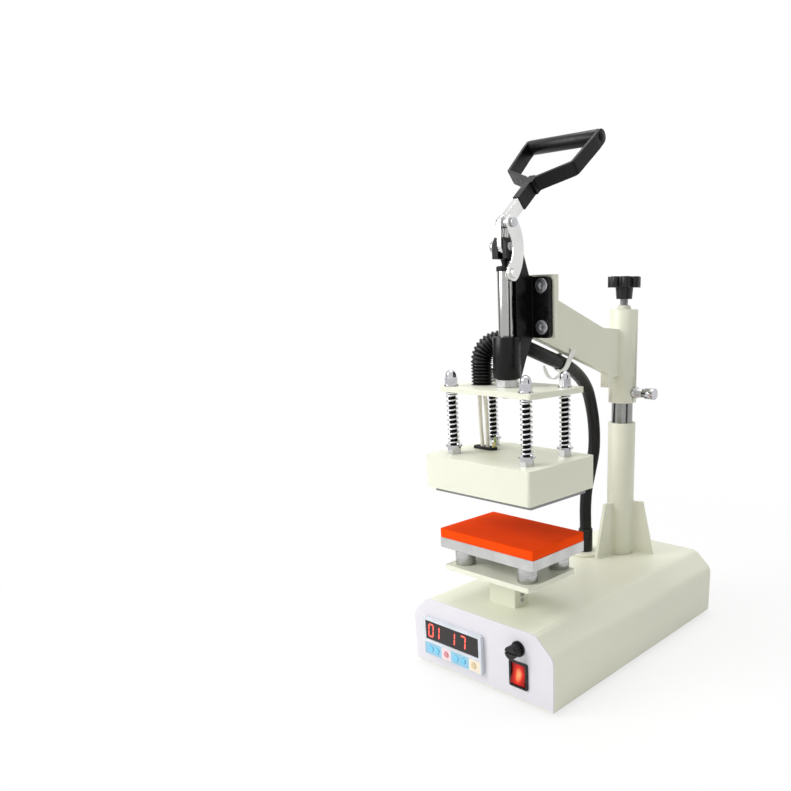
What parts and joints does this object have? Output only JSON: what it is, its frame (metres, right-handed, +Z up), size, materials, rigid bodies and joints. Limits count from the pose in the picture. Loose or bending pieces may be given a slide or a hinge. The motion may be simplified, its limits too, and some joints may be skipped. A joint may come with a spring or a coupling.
{
  "type": "label heat press",
  "caption": "Desk heat press for garment labels: spring-loaded heating head on a toggle clamp and swing arm, above a padded platen on a base with a temperature controller.",
  "frame": {"origin": "on the surface that the feet stand on, under the middle of the outline", "axes": "+X to the right seen from the front panel, +Y from the front panel to the rear, +Z up"},
  "size_m": [0.215, 0.367, 0.5952],
  "materials": {
    "cream_paint": "smooth semi-gloss powder coat",
    "panel_paint": "smooth satin paint",
    "black_plastic": "fine moulded grain",
    "smoked_window": "gloss, smoked",
    "grey_plastic": "fine moulded grain",
    "key_strip": "satin film",
    "key_blue": "satin",
    "key_red": "satin",
    "key_yellow": "satin",
    "rocker_red": "gloss, lit from inside",
    "relay_white": "gloss",
    "bright_steel": "ground bright",
    "zinc_steel": "zinc plated",
    "bare_alloy": "milled",
    "orange_silicone": "fine open cells, matt",
    "black_rubber": "matt",
    "black_coat": "black powder coat",
    "white_nylon": "satin",
    "lead_sleeve": "braided glass sleeve"
  },
  "bodies": {
    "base": {"base_housing": "cream_paint", "front_panel": "panel_paint", "bottom_cover": "cream_paint", "cover_screws": "zinc_steel", "rubber_feet": "black_rubber", "controller_case": "grey_plastic", "display_window": "smoked_window", "key_panel": "key_strip", "rocker_frame": "black_plastic", "fuse_holder": "black_plastic", "mains_inlet": "black_plastic", "power_relay": "relay_white", "column": "cream_paint", "post": "bright_steel", "gland_flange": "cream_paint", "hose_fitting": "black_plastic", "platen_pedestal": "cream_paint", "platen_carrier": "cream_paint", "platen_standoffs": "bare_alloy", "platen_screws": "zinc_steel", "lower_platen": "bare_alloy", "silicone_pad": "orange_silicone", "hose_lower": "black_rubber"},
    "swivel": {"thrust_pad": "zinc_steel"},
    "knob": {"star_knob": "black_plastic", "height_screw": "bright_steel"},
    "arm": {"arm_sleeve": "cream_paint", "arm_plate": "cream_paint", "clamp_frame": "black_coat", "clamp_bolts": "bright_steel", "handle_pivot": "zinc_steel", "index_body": "zinc_steel", "hose_tie": "white_nylon", "hose_upper": "black_rubber"},
    "index": {"index_pin": "black_plastic"},
    "plunger": {"plunger_rod": "bright_steel", "plunger_nuts": "zinc_steel", "upper_plate": "cream_paint", "head_springs": "bright_steel", "hose_ribbed": "black_plastic"},
    "handle": {"handle_lever": "bright_steel", "handle_straps": "black_coat", "handle_grip": "black_plastic", "link_pin": "zinc_steel"},
    "link": {"toggle_link": "bright_steel"},
    "head": {"head_cover": "cream_paint", "heating_plate": "bare_alloy", "heating_element": "zinc_steel", "guide_studs": "bright_steel", "stud_nuts": "bright_steel", "wire_grommet": "black_rubber", "heater_leads": "lead_sleeve"},
    "rocker": {"rocker": "rocker_red"},
    "fuse": {"fuse_cap": "black_plastic"},
    "key_1": {"key_1": "key_blue"},
    "key_2": {"key_2": "key_blue"},
    "key_3": {"key_3": "key_red"},
    "key_4": {"key_4": "key_blue"},
    "key_5": {"key_5": "key_blue"},
    "key_6": {"key_6": "key_yellow"}
  },
  "joints": [
    {"name": "arm_swing", "type": "hinge", "parent": "base", "child": "swivel", "pos_m": [0, 0.111, 0.3896], "axis": [0, 0, 1], "range_deg": [0, 90], "deforming": ["hose_lower"]},
    {"name": "knob_turn", "type": "hinge", "parent": "swivel", "child": "knob", "pos_m": [0, 0.111, 0.4416], "axis": [0, 0, -1], "range_deg": [0, 1445]},
    {"name": "arm_height", "type": "slide", "parent": "swivel", "child": "arm", "axis": [0, 0, 1], "range_m": [0, 0.006], "deforming": ["hose_upper"]},
    {"name": "index_pull", "type": "slide", "parent": "arm", "child": "index", "axis": [1, 0, 0], "range_m": [0, 0.006], "stiffness_N_per_m": 400, "springref_m": -0.01},
    {"name": "handle_pull", "type": "hinge", "parent": "arm", "child": "handle", "pos_m": [0, -0.111, 0.4766], "axis": [1, 0, 0], "range_deg": [0, 180]},
    {"name": "plunger_slide", "type": "slide", "parent": "arm", "child": "plunger", "axis": [0, 0, -1], "range_m": [0, 0.0446], "deforming": ["hose_ribbed"]},
    {"name": "link_pivot", "type": "hinge", "parent": "handle", "child": "link", "pos_m": [0, -0.111, 0.49885], "axis": [1, 0, 0], "range_deg": [-180.5, 0]},
    {"name": "head_float", "type": "slide", "parent": "plunger", "child": "head", "axis": [0, 0, 1], "range_m": [0, 0.012], "stiffness_N_per_m": 8000, "springref_m": -0.005, "deforming": ["head_springs", "heater_leads"]},
    {"name": "rocker_tilt", "type": "hinge", "parent": "base", "child": "rocker", "pos_m": [0.06, -0.1655, 0.036], "axis": [1, 0, 0], "range_deg": [0, 20]},
    {"name": "fuse_cap_turn", "type": "hinge", "parent": "base", "child": "fuse", "pos_m": [0.06, -0.1695, 0.067], "axis": [0, -1, 0], "range_deg": [0, 90]},
    {"name": "key_1_press", "type": "slide", "parent": "base", "child": "key_1", "axis": [0, 1, 0], "range_m": [0, 0.0005], "stiffness_N_per_m": 600, "springref_m": -0.0005},
    {"name": "key_2_press", "type": "slide", "parent": "base", "child": "key_2", "axis": [0, 1, 0], "range_m": [0, 0.0005], "stiffness_N_per_m": 600, "springref_m": -0.0005},
    {"name": "key_3_press", "type": "slide", "parent": "base", "child": "key_3", "axis": [0, 1, 0], "range_m": [0, 0.0005], "stiffness_N_per_m": 600, "springref_m": -0.0005},
    {"name": "key_4_press", "type": "slide", "parent": "base", "child": "key_4", "axis": [0, 1, 0], "range_m": [0, 0.0005], "stiffness_N_per_m": 600, "springref_m": -0.0005},
    {"name": "key_5_press", "type": "slide", "parent": "base", "child": "key_5", "axis": [0, 1, 0], "range_m": [0, 0.0005], "stiffness_N_per_m": 600, "springref_m": -0.0005},
    {"name": "key_6_press", "type": "slide", "parent": "base", "child": "key_6", "axis": [0, 1, 0], "range_m": [0, 0.0005], "stiffness_N_per_m": 600, "springref_m": -0.0005}
  ],
  "couplings": [
    {"joint": "knob_turn", "follows": "arm_height", "rad_per_m": 4188.8},
    {"joint": "plunger_slide", "follows": "handle_pull", "m_per_rad": 0.014165},
    {"joint": "link_pivot", "follows": "handle_pull", "ratio": -1}
  ]
}
